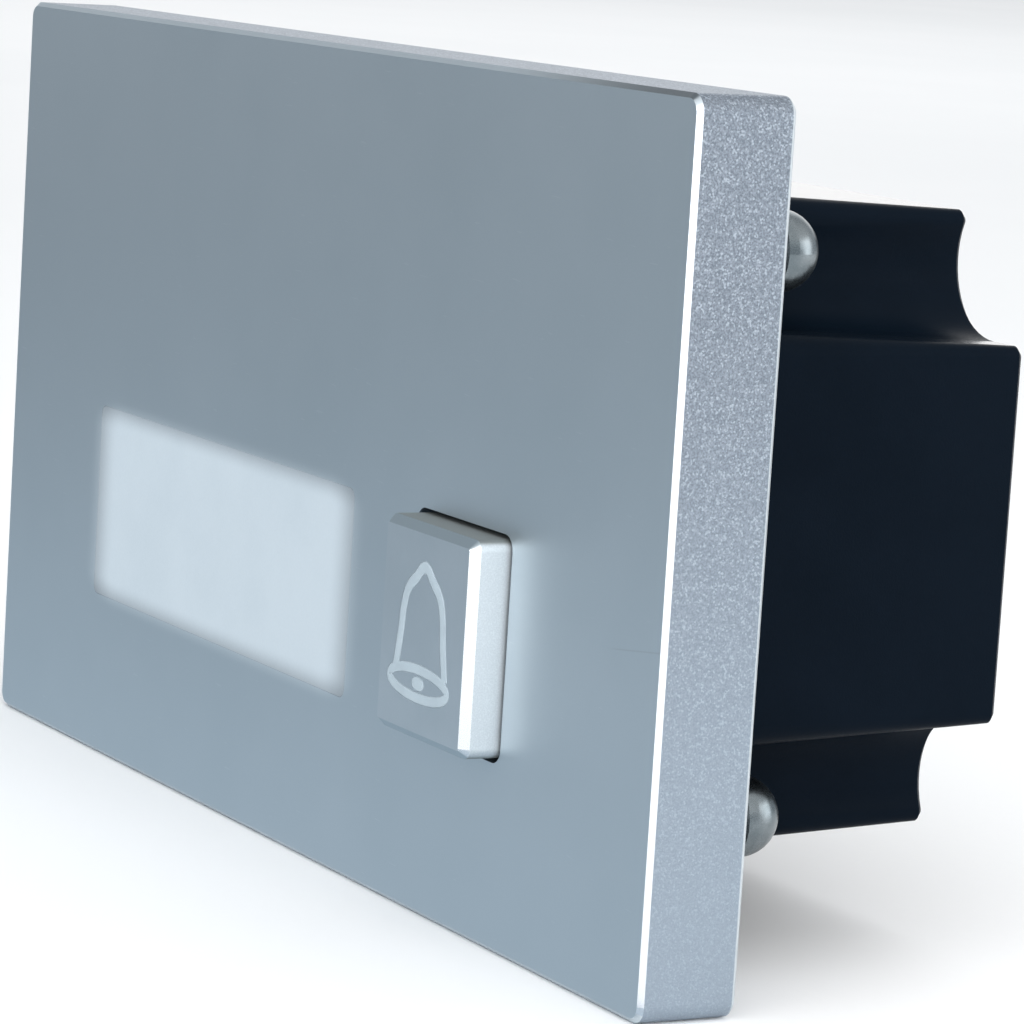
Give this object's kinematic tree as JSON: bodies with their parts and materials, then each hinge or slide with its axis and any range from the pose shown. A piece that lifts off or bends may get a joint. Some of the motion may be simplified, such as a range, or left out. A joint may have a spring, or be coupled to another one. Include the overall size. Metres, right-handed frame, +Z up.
{
  "type": "intercom button module",
  "caption": "Recessed intercom module: thick metal face plate with a backlit name window and a sprung call button, on a scalloped black back box.",
  "frame": {"origin": "centre of the face plate's back face, which lies against the wall", "axes": "+X to the right seen from the front, +Y into the wall, +Z up"},
  "size_m": [0.128, 0.0411, 0.07],
  "materials": {
    "plate_aluminium": "satin anodised front, bead-blasted sides",
    "window_lens": "frosted translucent plastic, lit from behind",
    "card": "plain white card",
    "opal_plastic": "opal white",
    "white_plastic": "white reflector plastic",
    "lamp_white": "white lamp housing",
    "component_black": "moulded component black",
    "board_green": "green solder mask",
    "brass": "turned brass",
    "zinc_steel": "zinc plated",
    "button_metal": "satin cap with chamfered edge",
    "guide_plastic": "black acetal",
    "spring_steel": "bright spring steel",
    "plunger_plastic": "moulded plunger",
    "box_plastic": "black moulded plastic, fine grain",
    "foam_rubber": "closed-cell foam",
    "nickel_steel": "nickel plated, smooth dome",
    "terminal_green": "green terminal plastic"
  },
  "bodies": {
    "housing": {"face_plate": "plate_aluminium", "name_window": "window_lens", "name_card": "card", "diffuser": "opal_plastic", "light_chamber": "white_plastic", "window_leds": "lamp_white", "led_resistors": "component_black", "circuit_board": "board_green", "board_standoffs": "brass", "board_screws": "zinc_steel", "button_guide": "guide_plastic", "guide_screws": "zinc_steel", "return_spring": "spring_steel", "switch_body": "component_black", "back_box": "box_plastic", "rim_gasket": "foam_rubber", "case_screws": "nickel_steel", "flat_washers": "zinc_steel", "spring_washers": "spring_steel", "terminal_block": "terminal_green", "terminal_screws": "zinc_steel", "wire_clamps": "brass"},
    "button": {"call_button": "button_metal"},
    "plunger": {"switch_plunger": "plunger_plastic"}
  },
  "joints": [
    {"name": "button_press", "type": "slide", "parent": "housing", "child": "button", "axis": [0, 1, 0], "range_m": [0, 0.001], "stiffness_N_per_m": 800, "springref_m": -0.002, "deforming": ["return_spring"]},
    {"name": "plunger_press", "type": "slide", "parent": "housing", "child": "plunger", "axis": [0, 1, 0], "range_m": [0, 0.001]}
  ],
  "couplings": [
    {"joint": "plunger_press", "follows": "button_press", "ratio": 1}
  ]
}
